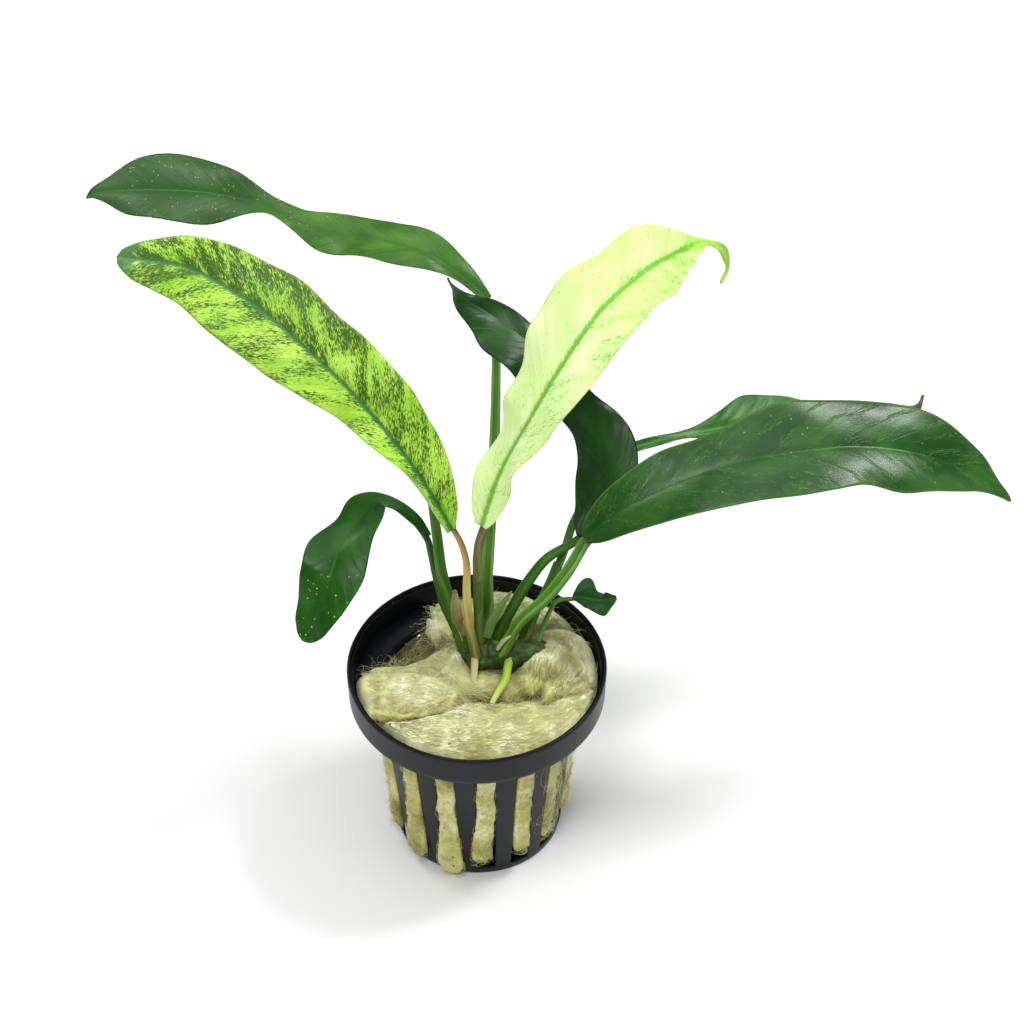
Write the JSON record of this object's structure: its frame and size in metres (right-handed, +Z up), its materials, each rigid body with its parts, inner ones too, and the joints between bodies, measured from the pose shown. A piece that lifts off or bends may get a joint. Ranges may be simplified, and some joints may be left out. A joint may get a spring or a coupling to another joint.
{
  "type": "potted water plant",
  "caption": "Broad-leaved water plant with variegated and dark leaves on a creeping rhizome, rooted in stone wool in a round slotted net pot.",
  "frame": {"origin": "centre of the net pot's flat foot", "axes": "+Z up out of the pot, -Y towards the front that shows the two pale leaves, +X along the broad dark leaf"},
  "size_m": [0.1946, 0.1136, 0.128],
  "materials": {
    "pot_plastic": "satin black moulded plastic with fine scuffs",
    "wool_fibre": "matte cream and yellow-green mineral wool with dark specks",
    "leaf_dark": "glossy deep green leaf with faint lighter streaks",
    "leaf_mottled": "lime leaf with dense dark green mottling",
    "leaf_pale": "cream to pale lime leaf with green flecks and a green midrib",
    "petiole_green": "smooth green stem",
    "petiole_amber": "orange to yellow stem",
    "petiole_olive": "brown-olive stem",
    "bract_dry": "papery tan bract",
    "rhizome_skin": "matte dark green rhizome",
    "root_skin": "smooth cream to yellow-green root"
  },
  "bodies": {
    "root": {"net_pot": "pot_plastic", "stone_wool": "wool_fibre", "rhizome": "rhizome_skin", "leaf_mottled": "leaf_mottled", "leaf_pale": "leaf_pale", "leaf_long": "leaf_dark", "leaf_dark": "leaf_dark", "leaf_broad": "leaf_dark", "leaf_far": "leaf_dark", "leaf_drooping": "leaf_dark", "leaf_shaded": "leaf_dark", "leaf_young": "leaf_dark", "petiole_mottled": "petiole_amber", "petiole_pale": "petiole_olive", "petiole_long": "petiole_green", "petiole_dark": "petiole_green", "petiole_broad": "petiole_green", "petiole_far": "petiole_green", "petiole_drooping": "petiole_green", "petiole_shaded": "petiole_green", "petiole_young": "petiole_green", "sheath_tall": "petiole_green", "sheath_slim": "petiole_green", "bract_tan": "bract_dry", "bract_small": "bract_dry", "root_cream": "root_skin", "root_green": "root_skin"}
  },
  "joints": []
}
